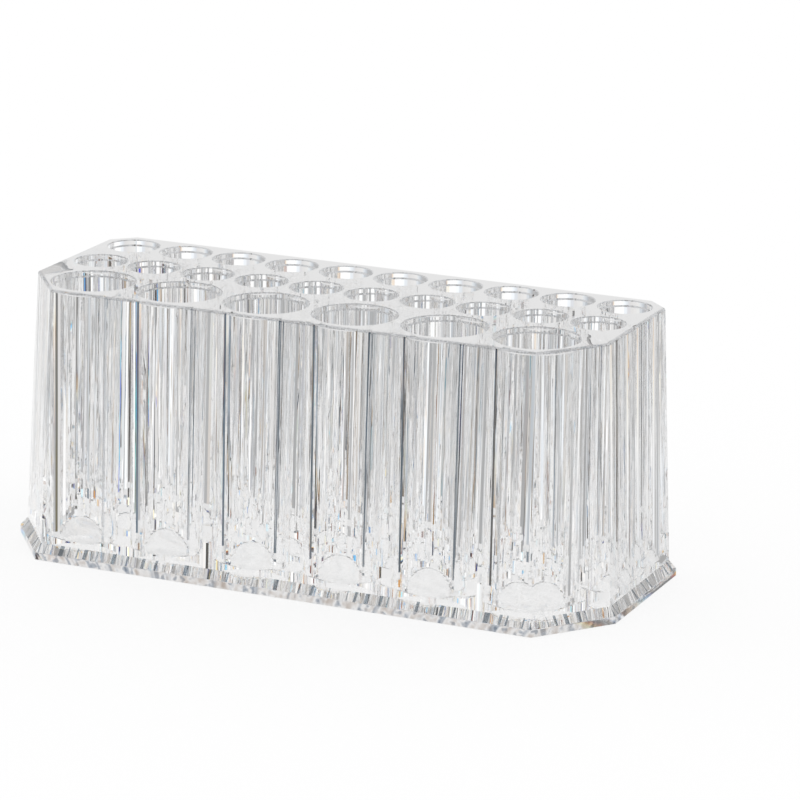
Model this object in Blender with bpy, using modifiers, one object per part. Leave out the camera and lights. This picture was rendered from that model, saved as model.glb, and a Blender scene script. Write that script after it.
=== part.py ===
"""Clear countertop organiser for make-up brushes.

An eight-sided block of clear moulded plastic, drafted so that it is smaller at the deck than above
its flared foot, stands on a thin clear base plate with the same outline as the foot. Three rows of
round wells run down from the deck: one row of wide wells at the front for powder brushes, and two
rows of narrow wells behind it. The wells end a little above the block's underside. Metres, +Z up,
the origin at the centre of the plate's underside, the wide wells towards -Y.
"""

from math import floor, hypot

import bmesh
import bpy

# Overall envelope
BASE_LENGTH = 0.130
BASE_DEPTH = 0.055
OVERALL_HEIGHT = 0.055

# Eight-sided outline: how much of each side a corner cut takes away
FRONT_CUT_LENGTH = 0.0115
FRONT_CUT_DEPTH = 0.0150
REAR_CUT = 0.0065

# Base plate
PLATE_THICKNESS = 0.0015
PLATE_SOFT_EDGE = 0.00025

# Well block: a bevelled foot and the drafted walls above it
BOND_GAP = 0.0003
FOOT_HEIGHT = 0.0017
FOOT_LEDGE = 0.0014
WALL_LEAN = 0.0023
WELL_FLOOR = 0.0017
DECK_EDGE_RADIUS = 0.0005
DECK_EDGE_STEPS = 2

# Wells, measured where they open in the deck
WIDE_DIAMETER = 0.0168
WIDE_WEB = 0.0022
NARROW_DIAMETER = 0.0106
NARROW_WEB = 0.0014
NARROW_ROW_WEB = 0.0036

# Plastic round the rows of wells: the front and rear walls are exact, and the others are the least
# that has to stay beyond the end of a row, beside a corner cut and behind the wide wells
FRONT_WALL = 0.0019
REAR_WALL = 0.0021
END_WALL = 0.0018
CORNER_WALL = 0.0010
WIDE_ROW_WEB = 0.0016

# Stepped mouth and moulding draft of every well
MOUTH_DEPTH = 0.0010
MOUTH_STEP = 0.0003
MOUTH_STEP_FALL = 0.0003
BORE_DRAFT = 0.0003
CUT_OVERRUN = 0.0020

# Facets round a well
WIDE_FACETS = 20
NARROW_FACETS = 20

# Clear polystyrene
CLEAR_TINT = (0.93, 0.94, 0.95, 1.0)
CLEAR_ROUGHNESS = 0.03
CLEAR_IOR = 1.59

MERGE_DISTANCE = 0.00001

# Derived sizes of the block
DECK_INSET = FOOT_LEDGE + WALL_LEAN
DECK_LENGTH = BASE_LENGTH - 2 * DECK_INSET
DECK_DEPTH = BASE_DEPTH - 2 * DECK_INSET
BLOCK_UNDERSIDE = PLATE_THICKNESS + BOND_GAP
FOOT_TOP = PLATE_THICKNESS + FOOT_HEIGHT
FLOOR_LEVEL = PLATE_THICKNESS + WELL_FLOOR


def clear_start():
    """Remove whatever the file holds before the model is made."""
    for old in list(bpy.data.objects):
        bpy.data.objects.remove(old, do_unlink=True)


def new_collection(name):
    group = bpy.data.collections.new(name)
    bpy.context.scene.collection.children.link(group)
    return group


def clear_plastic(name, tint):
    """Water-clear glossy plastic."""
    mat = bpy.data.materials.new(name)
    mat.use_nodes = True
    shader = mat.node_tree.nodes["Principled BSDF"]
    shader.inputs["Base Color"].default_value = tint
    shader.inputs["Roughness"].default_value = CLEAR_ROUGHNESS
    shader.inputs["Metallic"].default_value = 0
    shader.inputs["IOR"].default_value = CLEAR_IOR
    shader.inputs["Transmission Weight"].default_value = 1
    mat.diffuse_color = tint
    return mat


def cut_legs(along_x, along_y, inset):
    """Both legs of a corner cut after all the sides have moved in by the inset."""
    slope = hypot(along_x, along_y)
    line = along_x * along_y + inset * slope - inset * (along_x + along_y)
    return line / along_y, line / along_x


def outline(inset):
    """The eight corners of the outline, from the left end round the front, moved in by the inset."""
    half_x = BASE_LENGTH / 2 - inset
    half_y = BASE_DEPTH / 2 - inset
    front_x, front_y = cut_legs(FRONT_CUT_LENGTH, FRONT_CUT_DEPTH, inset)
    rear_x, rear_y = cut_legs(REAR_CUT, REAR_CUT, inset)
    right_side = [
        (half_x - front_x, -half_y),
        (half_x, -half_y + front_y),
        (half_x, half_y - rear_y),
        (half_x - rear_x, half_y),
    ]
    left_side = [(-x, y) for x, y in reversed(right_side)]
    return right_side + left_side


def loft(name, sections, mat, group, soft_top=False):
    """Solid through eight-sided sections, each an inset and a height, from the bottom up."""
    bm = bmesh.new()
    rings = [[bm.verts.new((x, y, z)) for x, y in outline(inset)] for inset, z in sections]
    for lower, upper in zip(rings, rings[1:]):
        for i in range(len(lower)):
            bm.faces.new((lower[i - 1], lower[i], upper[i], upper[i - 1]))
    bm.faces.new(list(reversed(rings[0])))
    top = bm.faces.new(rings[-1])
    if soft_top:
        weight = bm.edges.layers.float.new("bevel_weight_edge")
        for edge in top.edges:
            edge[weight] = 1
    mesh = bpy.data.meshes.new(name)
    bm.to_mesh(mesh)
    bm.free()
    mesh.materials.append(mat)
    part = bpy.data.objects.new(name, mesh)
    group.objects.link(part)
    return part


def well_cutter(name, diameter, facets, group):
    """Turned shape of one well: a bore with moulding draft, a small step and the wider mouth."""
    mouth = diameter / 2
    step_top = OVERALL_HEIGHT - MOUTH_DEPTH
    step_foot = step_top - MOUTH_STEP_FALL
    bore = mouth - MOUTH_STEP
    highest = OVERALL_HEIGHT + CUT_OVERRUN
    profile = [
        (0, highest),
        (mouth, highest),
        (mouth, step_top),
        (bore, step_foot),
        (bore - BORE_DRAFT, FLOOR_LEVEL),
        (0, FLOOR_LEVEL),
    ]
    mesh = bpy.data.meshes.new(name)
    verts = [(x, 0, z) for x, z in profile]
    mesh.from_pydata(verts, [(i, i + 1) for i in range(len(verts) - 1)], [])
    cutter = bpy.data.objects.new(name, mesh)
    group.objects.link(cutter)
    cutter.display_type = "WIRE"
    cutter.hide_render = True
    turn = cutter.modifiers.new("turn", "SCREW")
    turn.axis = "Z"
    turn.steps = facets
    turn.render_steps = facets
    turn.use_merge_vertices = True
    turn.merge_threshold = MERGE_DISTANCE
    return cutter


def end_reach(diameter, edge_wall, along_x, along_y):
    """Least distance from the deck's end to the centre of the last well of a row.

    The row lies one edge wall away from the deck's long side, whose corner cut is along_x by along_y
    at the foot. The well keeps the end wall to the deck's end and the corner wall to the cut.
    """
    radius = diameter / 2
    leg_x, leg_y = cut_legs(along_x, along_y, DECK_INSET)
    from_side = edge_wall + radius
    clear_of_cut = (radius + CORNER_WALL) * hypot(leg_x, leg_y) + leg_x * (leg_y - from_side)
    return max(radius + END_WALL, clear_of_cut / leg_y)


def repeat(cutter, count, offset):
    """Row of copies along the offset, which reaches from one copy to the next."""
    row = cutter.modifiers.new("row", "ARRAY")
    row.count = count
    row.use_relative_offset = False
    row.use_constant_offset = True
    row.constant_offset_displace = offset


def fill_row(cutter, y, pitch, reach):
    """Centre a row on the deck at the given depth, with as many wells as its length takes."""
    gaps = floor((DECK_LENGTH - 2 * reach) / pitch)
    cutter.location = (-gaps * pitch / 2, y, 0)
    repeat(cutter, gaps + 1, (pitch, 0, 0))


def cut(part, cutter):
    """Cut the cutter's shape out of the part."""
    bore = part.modifiers.new(cutter.name, "BOOLEAN")
    bore.operation = "DIFFERENCE"
    bore.solver = "EXACT"
    bore.object = cutter


def base_plate(mat, group):
    """Thin flat plate with upright sides."""
    sections = [
        (PLATE_SOFT_EDGE, 0),
        (0, PLATE_SOFT_EDGE),
        (0, PLATE_THICKNESS),
    ]
    return loft("base_plate", sections, mat, group)


def wide_wells(group):
    """Cutter of the front row."""
    cutter = well_cutter("wide_wells", WIDE_DIAMETER, WIDE_FACETS, group)
    y = -DECK_DEPTH / 2 + FRONT_WALL + WIDE_DIAMETER / 2
    reach = end_reach(WIDE_DIAMETER, FRONT_WALL, FRONT_CUT_LENGTH, FRONT_CUT_DEPTH)
    fill_row(cutter, y, WIDE_DIAMETER + WIDE_WEB, reach)
    return cutter


def narrow_wells(group):
    """Cutter of the rows behind the wide wells, counted from the rear wall forwards."""
    cutter = well_cutter("narrow_wells", NARROW_DIAMETER, NARROW_FACETS, group)
    y = DECK_DEPTH / 2 - REAR_WALL - NARROW_DIAMETER / 2
    reach = end_reach(NARROW_DIAMETER, REAR_WALL, REAR_CUT, REAR_CUT)
    fill_row(cutter, y, NARROW_DIAMETER + NARROW_WEB, reach)

    row_pitch = NARROW_DIAMETER + NARROW_ROW_WEB
    free_depth = DECK_DEPTH - FRONT_WALL - WIDE_DIAMETER - WIDE_ROW_WEB - REAR_WALL
    rows = floor((free_depth + NARROW_ROW_WEB) / row_pitch)
    repeat(cutter, rows, (0, -row_pitch, 0))
    return cutter


def well_block(mat, group, cutters):
    """Drafted block on its flared foot, with blind wells sunk into it from the deck."""
    sections = [
        (FOOT_LEDGE * BOND_GAP / FOOT_HEIGHT, BLOCK_UNDERSIDE),
        (FOOT_LEDGE, FOOT_TOP),
        (DECK_INSET, OVERALL_HEIGHT),
    ]
    block = loft("well_block", sections, mat, group, soft_top=True)
    soft = block.modifiers.new("deck edge", "BEVEL")
    soft.limit_method = "WEIGHT"
    soft.width = DECK_EDGE_RADIUS
    soft.segments = DECK_EDGE_STEPS
    cut(block, wide_wells(cutters))
    cut(block, narrow_wells(cutters))
    return block


def main():
    clear_start()
    organiser = new_collection("brush_organiser")
    cutters = new_collection("cutters")
    base_plate(clear_plastic("clear_plate", CLEAR_TINT), organiser)
    well_block(clear_plastic("clear_block", CLEAR_TINT), organiser, cutters)


main()
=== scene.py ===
"""Looks of the clear makeup brush holder: a drafted block of clear plastic with round wells and a
flared foot, on a thin base plate, standing on a white table in a white studio. Metres, +Z up.
"""

from math import cos, pi, radians, sin

import bmesh
import bpy
from mathutils import Matrix, Vector


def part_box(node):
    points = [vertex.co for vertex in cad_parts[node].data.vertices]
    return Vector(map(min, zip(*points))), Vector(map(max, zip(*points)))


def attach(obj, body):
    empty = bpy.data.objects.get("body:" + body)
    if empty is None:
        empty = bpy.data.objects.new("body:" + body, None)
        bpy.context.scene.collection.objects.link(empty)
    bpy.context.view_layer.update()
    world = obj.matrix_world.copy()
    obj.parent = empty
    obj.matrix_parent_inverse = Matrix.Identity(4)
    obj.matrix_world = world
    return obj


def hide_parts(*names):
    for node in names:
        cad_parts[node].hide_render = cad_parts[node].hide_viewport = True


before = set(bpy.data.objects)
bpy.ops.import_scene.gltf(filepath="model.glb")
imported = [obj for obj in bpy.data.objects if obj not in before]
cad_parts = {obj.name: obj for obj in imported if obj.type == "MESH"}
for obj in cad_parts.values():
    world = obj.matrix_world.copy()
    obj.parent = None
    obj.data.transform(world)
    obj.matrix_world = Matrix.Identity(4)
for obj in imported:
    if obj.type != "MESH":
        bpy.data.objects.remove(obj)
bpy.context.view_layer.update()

# Levels and extents that the CAD nodes give
PLATE_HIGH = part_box("base_plate")[1]
PLATE_TOP = PLATE_HIGH.z
DECK_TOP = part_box("well_block")[1].z

# Eight-sided outline of the base plate and the foot, and how far the levels above lie inside it
FRONT_CUT_LENGTH = 0.0115
FRONT_CUT_DEPTH = 0.0150
REAR_CUT = 0.0065
FOOT_HEIGHT = 0.0017
FOOT_LEDGE = 0.0014
FOOT_TOP = PLATE_TOP + FOOT_HEIGHT
WALL_LEAN = 0.0023
DECK_INSET = FOOT_LEDGE + WALL_LEAN

# Soft moulded edges
PLATE_EDGE_RADIUS = 0.0001
DECK_EDGE_RADIUS = 0.0005
MOUTH_EDGE_RADIUS = 0.0002
EDGE_STEPS = 3
ROUND_PROFILE = 0.5

# Wells
WIDE_DIAMETER = 0.0168
WIDE_PITCH = 0.0190
WIDE_COUNT = 6
WIDE_STEPS = 72
NARROW_DIAMETER = 0.0106
NARROW_PITCH = 0.0120
NARROW_COUNT = 10
NARROW_STEPS = 48
NARROW_ROW_PITCH = 0.0142
FRONT_WALL = 0.0019
REAR_WALL = 0.0021
MOUTH_DEPTH = 0.0010
MOUTH_STEP = 0.0003
MOUTH_STEP_FALL = 0.0003
BORE_TOP = DECK_TOP - MOUTH_DEPTH - MOUTH_STEP_FALL
BORE_DRAFT = 0.0003
FLOOR_HEIGHT = 0.0017
FLOOR_LEVEL = PLATE_TOP + FLOOR_HEIGHT
FLOOR_RADIUS = 0.0003
FLOOR_STEPS = 3
OVERRUN = 0.0020

# Film of air between the block and the plate
AIR_GAP = 0.00005

# Distance below which two points count as one
SMALLEST = 0.000001

# Places of the materials on the block, after the walls' material at 0
WELL_SLOT = 1
FLOOR_SLOT = 2

# Polished clear plastic, with slow moulding waves all over and fine ripples on upright faces
PLASTIC_IOR = 1.59
WAVE_SIZE = 0.008
WAVE_DEPTH = 0.00002
RIPPLE_SIZE = 0.0006
RIPPLE_STRETCH = 60
WELL_RIPPLE = 0.00001
WALL_RIPPLE = 0.000001
NOISE_DETAIL = 1.0
SHARP_ANGLE = radians(20)
LIGHT_BOUNCES = 64

# How level a face is, from 0 for upright to 1 for level: the most for an upright face, and the
# least and the most for a slanted one
UPRIGHT_MOST = 0.5
SLANTED_LEAST = 0.20
SLANTED_MOST = 0.98

# Painted light and shade on the clear plastic: painted shade on the slanted faces at the deck, and
# painted light and shade of refraction on the plate's sides and the foot. The last two change along
# a noise, between stops of position and colour.
WHITE = (1, 1, 1, 1)
BLACK = (0, 0, 0, 1)
# Painted shade, grey, on the slanted faces at the deck
PAINTED_EDGE_SHADE = (0.60, 0.61, 0.63, 1)
# Painted light and shade of refraction, in patches round the plate's sides
PAINTED_SIDE_PATCH_SIZE = 0.0016
PAINTED_SIDE_LIGHT_AND_SHADE = [
    (0.34, (0.28, 0.32, 0.38, 1)),
    (0.46, WHITE),
    (0.70, (0.58, 0.51, 0.46, 1)),
]
# Painted light and shade of refraction, in stripes across the foot's bevel
PAINTED_FOOT_STRIPE_SIZE = 0.0010
PAINTED_FOOT_LIGHT_AND_SHADE = [
    (0.36, (0.14, 0.17, 0.20, 1)),
    (0.43, WHITE),
    (0.80, (0.65, 0.60, 0.55, 1)),
]

# Painted glow on the wells' floors, which stands in for the light that reaches them: its light,
# and its least and greatest share of the surface
PAINTED_GLOW = (0.86, 0.86, 0.86, 1)
LEAST_GLOW = 0.55
MOST_GLOW = 0.90
GLOW_PATCH_SIZE = 0.0012
GLOW_PATCH_STRETCH = 0.1

# Camera, as the photograph was taken
CAMERA_PLACE = Vector((0.331373, -0.728447, 0.258538))
CAMERA_YAW = radians(23.576)
CAMERA_PITCH = radians(15.715)
CAMERA_ROLL = radians(1.028)
FRAME_PIXELS = 800
FOCAL_PIXELS = 4184.925
SENSOR = 36.0
NEAREST = 0.01
FARTHEST = 20.0

# White table: the share of its light that no shadow changes, and the light that the plastic gets
# from the part below the holder
TABLE_SIZE = 6.0
TABLE_DROP = 0.0001
TABLE_OWN_LIGHT = 0.85
COVERED_LIGHT = 0.77

# Studio round the holder, as clear plastic shows it: the brightness beneath and overhead, and between
# them a ring at the level of the table and a ring for the room above it. A ring's stops are a bearing
# in degrees, from +Y towards +X, and a brightness.
BENEATH = 0.46
OVERHEAD = 0.40
TABLE_RING = [
    (-180, 0.42),
    (-172, 0.05),
    (-166, 0.65),
    (-158, 0.28),
    (-148, 0.05),
    (-122, 0.14),
    (-114, 0.70),
    (-97, 0.79),
    (-95.5, 0.02),
    (-92.5, 0.20),
    (-87, 0.20),
    (-85.5, 0.56),
    (-65, 0.47),
    (-60, 1.02),
    (-40, 1.07),
    (-30, 0.74),
    (-12, 0.84),
    (0, 0.51),
    (35, 0.39),
    (45, 0.70),
    (65, 0.56),
    (74, 0.42),
    (76, 0.04),
    (85, 0.04),
    (88, 0.20),
    (97, 0.20),
    (104, 0.65),
    (125, 0.51),
    (136, 0.05),
    (150, 0.14),
    (162, 0.79),
    (180, 0.42),
]
ROOM_RING = [
    (-180, 0.84),
    (-170, 0.09),
    (-163, 0.09),
    (-160, 1.12),
    (-146, 1.12),
    (-143, 0.09),
    (-135, 0.09),
    (-132, 1.12),
    (-116, 1.02),
    (-113, 0.09),
    (-104, 0.09),
    (-101, 0.93),
    (-86, 0.84),
    (-83, 0.19),
    (-75, 0.19),
    (-72, 0.79),
    (10, 0.84),
    (20, 1.02),
    (32, 1.02),
    (35, 0.09),
    (43, 0.09),
    (46, 0.93),
    (66, 0.84),
    (69, 0.09),
    (78, 0.09),
    (81, 1.02),
    (104, 0.93),
    (107, 0.09),
    (118, 0.09),
    (121, 1.12),
    (150, 0.93),
    (180, 0.84),
]
FULL_TURN = 360.0

# Elevations where the light beneath and the light overhead begin, half the width of the soft edge
# between two levels, and how far in degrees a panel's edge lies apart in red, green and blue
BENEATH_LEVEL = radians(-48)
OVERHEAD_LEVEL = radians(40)
LEVEL_EDGE = radians(2)
FRINGE = 1.2


def outline_face(bm, height):
    """Eight-sided face with the plate's outline, facing up."""
    half_x, half_y = PLATE_HIGH.xy
    right_side = [
        (half_x - FRONT_CUT_LENGTH, -half_y),
        (half_x, -half_y + FRONT_CUT_DEPTH),
        (half_x, half_y - REAR_CUT),
        (half_x - REAR_CUT, half_y),
    ]
    corners = right_side + [(-x, y) for x, y in reversed(right_side)]
    face = bm.faces.new([bm.verts.new((x, y, height)) for x, y in corners])
    face.normal_update()
    return face


def raise_face(bm, face, inset, rise):
    """Raise the face by the rise while its sides move in by the inset, leaving walls behind it."""
    bmesh.ops.inset_region(
        bm, faces=[face], thickness=inset, depth=rise, use_even_offset=True, use_boundary=True
    )


def close_bottom(bm):
    rim = [edge for edge in bm.edges if edge.is_boundary]
    bmesh.ops.edgeloop_fill(bm, edges=rim)
    bmesh.ops.recalc_face_normals(bm, faces=bm.faces)


def soften(bm, edges, radius):
    bmesh.ops.bevel(
        bm,
        geom=edges,
        offset=radius,
        segments=EDGE_STEPS,
        profile=ROUND_PROFILE,
        affect="EDGES",
        material=-1,
    )


def at_height(edge, height):
    return all(abs(vert.co.z - height) < SMALLEST for vert in edge.verts)


def new_piece(bm, name, mats):
    """Object with the bmesh's shape, which this uses up."""
    mesh = bpy.data.meshes.new(name)
    bm.to_mesh(mesh)
    bm.free()
    for mat in mats:
        mesh.materials.append(mat)
    piece = bpy.data.objects.new(name, mesh)
    bpy.context.scene.collection.objects.link(piece)
    return piece


def shade_clear(mesh):
    """Flat facets down the wells, and smooth mouths and soft edges."""
    mesh.shade_smooth()
    mesh.set_sharp_from_angle(angle=SHARP_ANGLE)
    for face in mesh.polygons:
        face.use_smooth = face.material_index != WELL_SLOT or face.center.z > BORE_TOP


def quarter_arc(x, z, radius, steps):
    """Points of the quarter circle from straight beside the centre at (x, z) to straight below it."""
    turns = [pi / 2 * i / steps for i in range(steps + 1)]
    return [(x + radius * cos(turn), z - radius * sin(turn)) for turn in turns]


def well_solid(diameter, steps):
    """Turned solid that fills one well and stands proud of the deck."""
    mouth = diameter / 2
    bore = mouth - MOUTH_STEP
    flat = bore - BORE_DRAFT - FLOOR_RADIUS
    profile = [
        (0, DECK_TOP + OVERRUN),
        (mouth + MOUTH_EDGE_RADIUS, DECK_TOP + OVERRUN),
        (mouth + MOUTH_EDGE_RADIUS, DECK_TOP),
        (mouth, DECK_TOP - MOUTH_EDGE_RADIUS),
        (mouth, DECK_TOP - MOUTH_DEPTH),
        (bore, BORE_TOP),
        *quarter_arc(flat, FLOOR_LEVEL + FLOOR_RADIUS, FLOOR_RADIUS, FLOOR_STEPS),
        (0, FLOOR_LEVEL),
    ]
    bm = bmesh.new()
    verts = [bm.verts.new((x, 0, z)) for x, z in profile]
    edges = [bm.edges.new(pair) for pair in zip(verts, verts[1:])]
    bmesh.ops.spin(
        bm, geom=verts + edges, cent=(0, 0, 0), axis=(0, 0, 1), angle=2 * pi, steps=steps, use_merge=True
    )
    bmesh.ops.remove_doubles(bm, verts=bm.verts, dist=SMALLEST)
    bmesh.ops.recalc_face_normals(bm, faces=bm.faces)
    return bm


def all_wells():
    """Solids that fill the wells of all three rows."""
    deck_rear = PLATE_HIGH.y - DECK_INSET
    front_y = -deck_rear + FRONT_WALL + WIDE_DIAMETER / 2
    rear_y = deck_rear - REAR_WALL - NARROW_DIAMETER / 2
    rows = [
        (WIDE_DIAMETER, WIDE_STEPS, WIDE_COUNT, WIDE_PITCH, front_y),
        (NARROW_DIAMETER, NARROW_STEPS, NARROW_COUNT, NARROW_PITCH, rear_y - NARROW_ROW_PITCH),
        (NARROW_DIAMETER, NARROW_STEPS, NARROW_COUNT, NARROW_PITCH, rear_y),
    ]
    bm = bmesh.new()
    for diameter, steps, count, pitch, y in rows:
        for i in range(count):
            one = well_solid(diameter, steps)
            bmesh.ops.translate(one, verts=one.verts, vec=((i - (count - 1) / 2) * pitch, y, 0))
            mesh = bpy.data.meshes.new("one_well")
            one.to_mesh(mesh)
            one.free()
            bm.from_mesh(mesh)
            bpy.data.meshes.remove(mesh)
    return bm


def cut_out(piece, bm):
    """Cut the shapes in the bmesh out of the piece, with the wells' material on the new faces."""
    for face in bm.faces:
        face.material_index = WELL_SLOT
    cutter = new_piece(bm, "cutter", piece.data.materials)
    cut = piece.modifiers.new("wells", "BOOLEAN")
    cut.operation = "DIFFERENCE"
    cut.solver = "EXACT"
    cut.object = cutter
    bpy.context.view_layer.update()
    depsgraph = bpy.context.evaluated_depsgraph_get()
    mesh = bpy.data.meshes.new_from_object(piece.evaluated_get(depsgraph))
    piece.modifiers.clear()
    piece.data = mesh
    bpy.data.objects.remove(cutter)


class Graph:
    """Short way to add and link the nodes of one material or world."""

    # Places of a mix node's colours among the sockets that it has for every type
    FIRST_COLOUR = 6
    SECOND_COLOUR = 7
    MIXED_COLOUR = 2

    def __init__(self, tree):
        self.tree = tree

    def node(self, kind, inputs=(), **settings):
        """New node, with each of its named inputs linked to a socket or set to a value."""
        node = self.tree.nodes.new(kind)
        for key, value in settings.items():
            setattr(node, key, value)
        for slot, value in dict(inputs).items():
            if isinstance(value, bpy.types.NodeSocket):
                self.tree.links.new(value, node.inputs[slot])
            else:
                node.inputs[slot].default_value = value
        return node

    def place(self):
        """Point on the object."""
        return self.node("ShaderNodeTexCoord").outputs["Object"]

    def split(self, vector):
        return self.node("ShaderNodeSeparateXYZ", {0: vector}).outputs

    def math(self, operation, first, second=0.0, third=0.0):
        return self.node("ShaderNodeMath", {0: first, 1: second, 2: third}, operation=operation).outputs[0]

    def below(self, value, limit):
        return self.math("LESS_THAN", value, limit)

    def above(self, value, limit):
        return self.math("GREATER_THAN", value, limit)

    def both(self, first, second):
        return self.math("MULTIPLY", first, second)

    def mix_colours(self, share, first, second):
        """From the first colour to the second, as the share goes from 0 to 1."""
        inputs = {"Factor": share, self.FIRST_COLOUR: first, self.SECOND_COLOUR: second}
        return self.node("ShaderNodeMix", inputs, data_type="RGBA").outputs[self.MIXED_COLOUR]

    def mix_shaders(self, share, first, second):
        """From the first shader to the second, as the share goes from 0 to 1."""
        return self.node("ShaderNodeMixShader", {0: share, 1: first, 2: second}).outputs[0]

    def ramp(self, factor, stops):
        """Colour at the factor, from stops of position and colour."""
        node = self.node("ShaderNodeValToRGB", {"Fac": factor})
        spots = node.color_ramp.elements
        for position, _ in stops[1:-1]:
            spots.new(position)
        for spot, (position, colour) in zip(spots, stops):
            spot.position = position
            spot.color = colour
        return node.outputs["Color"]

    def noise(self, place, size, stretch=1):
        """Noise about as coarse as the size, drawn out along the height by the stretch."""
        scaled = self.node("ShaderNodeMapping", {"Vector": place, "Scale": (1, 1, 1 / stretch)}).outputs[0]
        grain = {"Vector": scaled, "Scale": 1 / size, "Detail": NOISE_DETAIL}
        return self.node("ShaderNodeTexNoise", grain).outputs[0]

    def through_plastic(self):
        """1 for what shows in or through clear plastic, and 0 for all else."""
        path = self.node("ShaderNodeLightPath").outputs
        return self.math("MAXIMUM", path["Is Glossy Ray"], path["Is Transmission Ray"])


def painted_foot_stripes(graph, place, normal):
    """Painted stripes of refracted light and shade, straight across the foot's bevel and one after another
    along each side.
    """
    sideways = graph.node("ShaderNodeVectorMath", {0: normal, 1: place}, operation="CROSS_PRODUCT")
    along = graph.split(sideways.outputs[0])["Z"]
    grain = {"W": along, "Scale": 1 / PAINTED_FOOT_STRIPE_SIZE, "Detail": NOISE_DETAIL}
    stripes = graph.node("ShaderNodeTexNoise", grain, noise_dimensions="1D").outputs[0]
    return graph.ramp(stripes, PAINTED_FOOT_LIGHT_AND_SHADE)


def painted_light_and_shade(graph, place, normal, level, upright):
    """Clear, but with painted shade on slanted faces at the deck, and painted light and shade of
    refraction striped on the foot and patchy round the plate.
    """
    height = graph.split(place)["Z"]
    slanted = graph.both(graph.below(level, SLANTED_MOST), graph.above(level, SLANTED_LEAST))
    at_deck = graph.both(slanted, graph.above(height, BORE_TOP))
    at_foot = graph.both(slanted, graph.below(height, FOOT_TOP))
    at_plate = graph.both(upright, graph.below(height, PLATE_TOP))
    patches = graph.ramp(graph.noise(place, PAINTED_SIDE_PATCH_SIZE), PAINTED_SIDE_LIGHT_AND_SHADE)
    colour = graph.mix_colours(at_deck, WHITE, PAINTED_EDGE_SHADE)
    colour = graph.mix_colours(at_foot, colour, painted_foot_stripes(graph, place, normal))
    return graph.mix_colours(at_plate, colour, patches)


def clear_plastic(name, ripple):
    """Polished clear plastic with slow moulding waves, and on upright faces ripples of that depth."""
    mat = bpy.data.materials.new(name)
    mat.use_nodes = True
    graph = Graph(mat.node_tree)
    place = graph.place()
    normal = graph.node("ShaderNodeNewGeometry").outputs["True Normal"]
    level = graph.math("ABSOLUTE", graph.split(normal)["Z"])
    upright = graph.below(level, UPRIGHT_MOST)
    waves = {"Height": graph.noise(place, WAVE_SIZE), "Distance": WAVE_DEPTH}
    ripples = {
        "Height": graph.noise(place, RIPPLE_SIZE, RIPPLE_STRETCH),
        "Distance": ripple,
        "Strength": upright,
        "Normal": graph.node("ShaderNodeBump", waves).outputs[0],
    }
    surface = graph.node("ShaderNodeBump", ripples).outputs[0]
    shader = mat.node_tree.nodes["Principled BSDF"]
    # Base colour carries the painted shade and the painted light and shade of refraction
    mat.node_tree.links.new(painted_light_and_shade(graph, place, normal, level, upright), shader.inputs["Base Color"])
    shader.inputs["Roughness"].default_value = 0
    shader.inputs["Specular Tint"].default_value = BLACK
    shader.inputs["IOR"].default_value = PLASTIC_IOR
    shader.inputs["Transmission Weight"].default_value = 1
    mat.node_tree.links.new(surface, shader.inputs["Normal"])
    return mat


def glowing_floors(name, ripple):
    """Clear plastic mixed in fine uneven patches with a painted white glow, which stands in for light
    reaching the floors.
    """
    mat = clear_plastic(name, ripple)
    tree = mat.node_tree
    graph = Graph(tree)
    patches = graph.noise(graph.place(), GLOW_PATCH_SIZE, GLOW_PATCH_STRETCH)
    shares = {"Value": patches, "To Min": LEAST_GLOW, "To Max": MOST_GLOW}
    share = graph.node("ShaderNodeMapRange", shares).outputs[0]
    # Painted glow that stands in for the light reaching the floors
    glow = graph.node("ShaderNodeEmission", {"Color": PAINTED_GLOW}).outputs[0]
    surface = graph.mix_shaders(share, tree.nodes["Principled BSDF"].outputs[0], glow)
    tree.links.new(surface, tree.nodes["Material Output"].inputs["Surface"])
    return mat


def make_block(mats):
    """Drafted block on its flared foot, with its wells."""
    bm = bmesh.new()
    underside = PLATE_TOP + AIR_GAP
    face = outline_face(bm, underside)
    raise_face(bm, face, FOOT_LEDGE, FOOT_TOP - underside)
    raise_face(bm, face, WALL_LEAN, DECK_TOP - FOOT_TOP)
    close_bottom(bm)
    soften(bm, [edge for edge in bm.edges if at_height(edge, DECK_TOP)], DECK_EDGE_RADIUS)
    block = new_piece(bm, "clear_block", mats)
    cut_out(block, all_wells())
    shade_clear(block.data)
    # Wells' floors take the material with the painted glow
    for face in block.data.polygons:
        if face.material_index == WELL_SLOT and face.center.z < FLOOR_LEVEL + SMALLEST:
            face.material_index = FLOOR_SLOT
    return block


def make_plate(mat):
    """Thin base plate with upright sides and soft edges."""
    bm = bmesh.new()
    face = outline_face(bm, 0)
    raise_face(bm, face, 0, PLATE_TOP)
    close_bottom(bm)
    soften(bm, bm.edges[:], PLATE_EDGE_RADIUS)
    plate = new_piece(bm, "clear_plate", [mat])
    shade_clear(plate.data)
    return plate


def make_holder():
    walls = clear_plastic("clear_walls", WALL_RIPPLE)
    wells = clear_plastic("clear_wells", WELL_RIPPLE)
    # Well floors with a painted glow
    floors = glowing_floors("glowing_floors", WELL_RIPPLE)
    block = make_block([walls, wells, floors])
    plate = make_plate(walls)
    for piece, node in ((block, "well_block"), (plate, "base_plate")):
        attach(piece, "root")
        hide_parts(node)


def make_camera():
    data = bpy.data.cameras.new("camera")
    data.sensor_width = SENSOR
    data.lens = FOCAL_PIXELS / FRAME_PIXELS * SENSOR
    data.clip_start = NEAREST
    data.clip_end = FARTHEST
    camera = bpy.data.objects.new("camera", data)
    bpy.context.scene.collection.objects.link(camera)
    aim = Matrix.Rotation(CAMERA_YAW, 4, "Z") @ Matrix.Rotation(pi / 2 - CAMERA_PITCH, 4, "X")
    camera.matrix_world = Matrix.Translation(CAMERA_PLACE) @ aim @ Matrix.Rotation(CAMERA_ROLL, 4, "Z")
    bpy.context.scene.camera = camera


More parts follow.
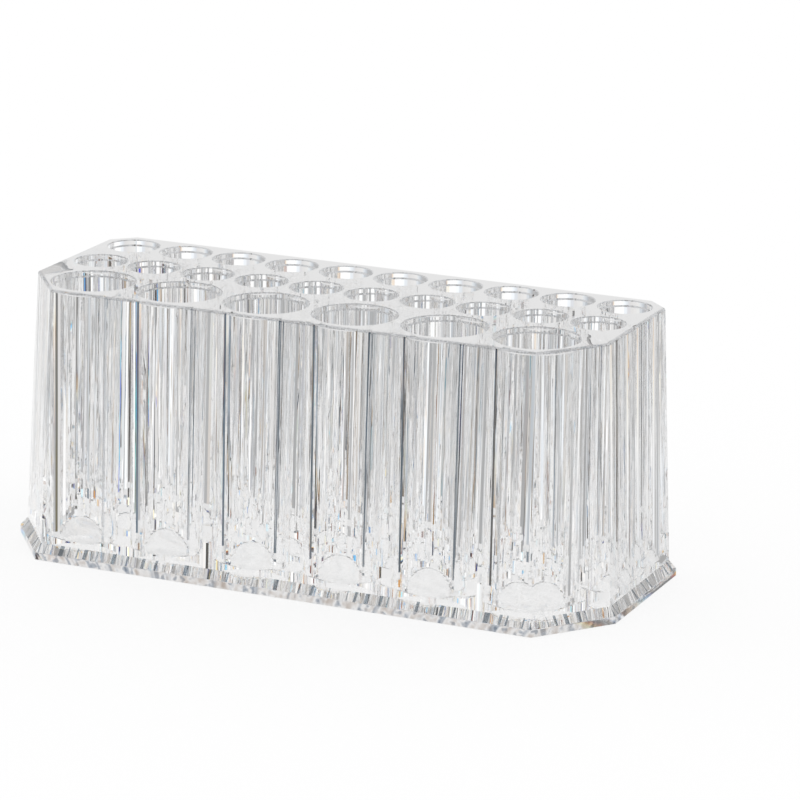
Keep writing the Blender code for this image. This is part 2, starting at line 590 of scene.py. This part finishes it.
def grey(light):
    return (light, light, light, 1)


def share_of_turn(bearing):
    """Place of a bearing in degrees on a ring, which starts at -180."""
    return bearing / FULL_TURN + 0.5


def ring_light(graph, turn, ring):
    """Brightness round one ring, at a share of a full turn."""
    return graph.ramp(turn, [(share_of_turn(bearing), grey(light)) for bearing, light in ring])


def room_light(graph, turn, height):
    """Brightness of the studio at a share of a full turn and the sine of an elevation."""

    def rise(level):
        """0 below the level and 1 above it, with a soft edge."""
        ends = {"Value": height, "From Min": sin(level - LEVEL_EDGE), "From Max": sin(level + LEVEL_EDGE)}
        return graph.node("ShaderNodeMapRange", ends).outputs[0]

    table = ring_light(graph, turn, TABLE_RING)
    room = ring_light(graph, turn, ROOM_RING)
    light = graph.mix_colours(rise(0), table, room)
    light = graph.mix_colours(rise(OVERHEAD_LEVEL), light, grey(OVERHEAD))
    return graph.mix_colours(rise(BENEATH_LEVEL), grey(BENEATH), light)


def make_studio():
    """White all round for the camera, and lit panels between darker gaps for the clear plastic."""
    world = bpy.data.worlds.new("studio")
    bpy.context.scene.world = world
    world.use_nodes = True
    graph = Graph(world.node_tree)
    direction = graph.split(graph.node("ShaderNodeTexCoord").outputs["Generated"])
    bearing = graph.math("ARCTAN2", direction["X"], direction["Y"])
    channels = []
    for fringe in (FRINGE, 0.0, -FRINGE):
        turn = graph.math("MULTIPLY_ADD", bearing, 1 / radians(FULL_TURN), share_of_turn(fringe))
        channels.append(room_light(graph, graph.math("FRACT", turn), direction["Z"]))
    room = graph.node("ShaderNodeCombineColor", dict(enumerate(channels))).outputs[0]
    seen = graph.mix_colours(graph.through_plastic(), WHITE, room)
    world.node_tree.links.new(seen, world.node_tree.nodes["Background"].inputs["Color"])


def make_table():
    """White table with a faint shadow for the camera. The plastic sees the studio through it, or an
    even light where the holder covers it.
    """
    bm = bmesh.new()
    bmesh.ops.create_grid(bm, x_segments=1, y_segments=1, size=TABLE_SIZE / 2)
    bmesh.ops.translate(bm, verts=bm.verts, vec=(0, 0, -TABLE_DROP))
    mat = bpy.data.materials.new("table")
    mat.use_nodes = True
    tree = mat.node_tree
    tree.nodes.remove(tree.nodes["Principled BSDF"])
    graph = Graph(tree)
    own = graph.node("ShaderNodeEmission", {"Color": WHITE}).outputs[0]
    shaded = graph.node("ShaderNodeBsdfDiffuse", {"Color": WHITE}).outputs[0]
    white = graph.mix_shaders(TABLE_OWN_LIGHT, shaded, own)
    place = graph.split(graph.place())
    inside_x = graph.below(graph.math("ABSOLUTE", place["X"]), PLATE_HIGH.x)
    inside_y = graph.below(graph.math("ABSOLUTE", place["Y"]), PLATE_HIGH.y)
    covered = graph.both(inside_x, inside_y)
    through = graph.node("ShaderNodeBsdfTransparent").outputs[0]
    under = graph.node("ShaderNodeEmission", {"Color": WHITE, "Strength": COVERED_LIGHT}).outputs[0]
    seen = graph.mix_shaders(covered, through, under)
    surface = graph.mix_shaders(graph.through_plastic(), white, seen)
    tree.links.new(surface, tree.nodes["Material Output"].inputs["Surface"])
    table = new_piece(bm, "table", [mat])


def set_scene():
    scene = bpy.context.scene
    scene.view_settings.view_transform = "Standard"
    scene.cycles.max_bounces = LIGHT_BOUNCES
    scene.cycles.glossy_bounces = LIGHT_BOUNCES
    scene.cycles.transmission_bounces = LIGHT_BOUNCES
    scene.cycles.transparent_max_bounces = LIGHT_BOUNCES
    # The other passes are as grainy as the picture itself inside clear plastic
    scene.cycles.denoising_input_passes = "RGB"


def main():
    make_holder()
    make_camera()
    make_studio()
    make_table()
    set_scene()


main()
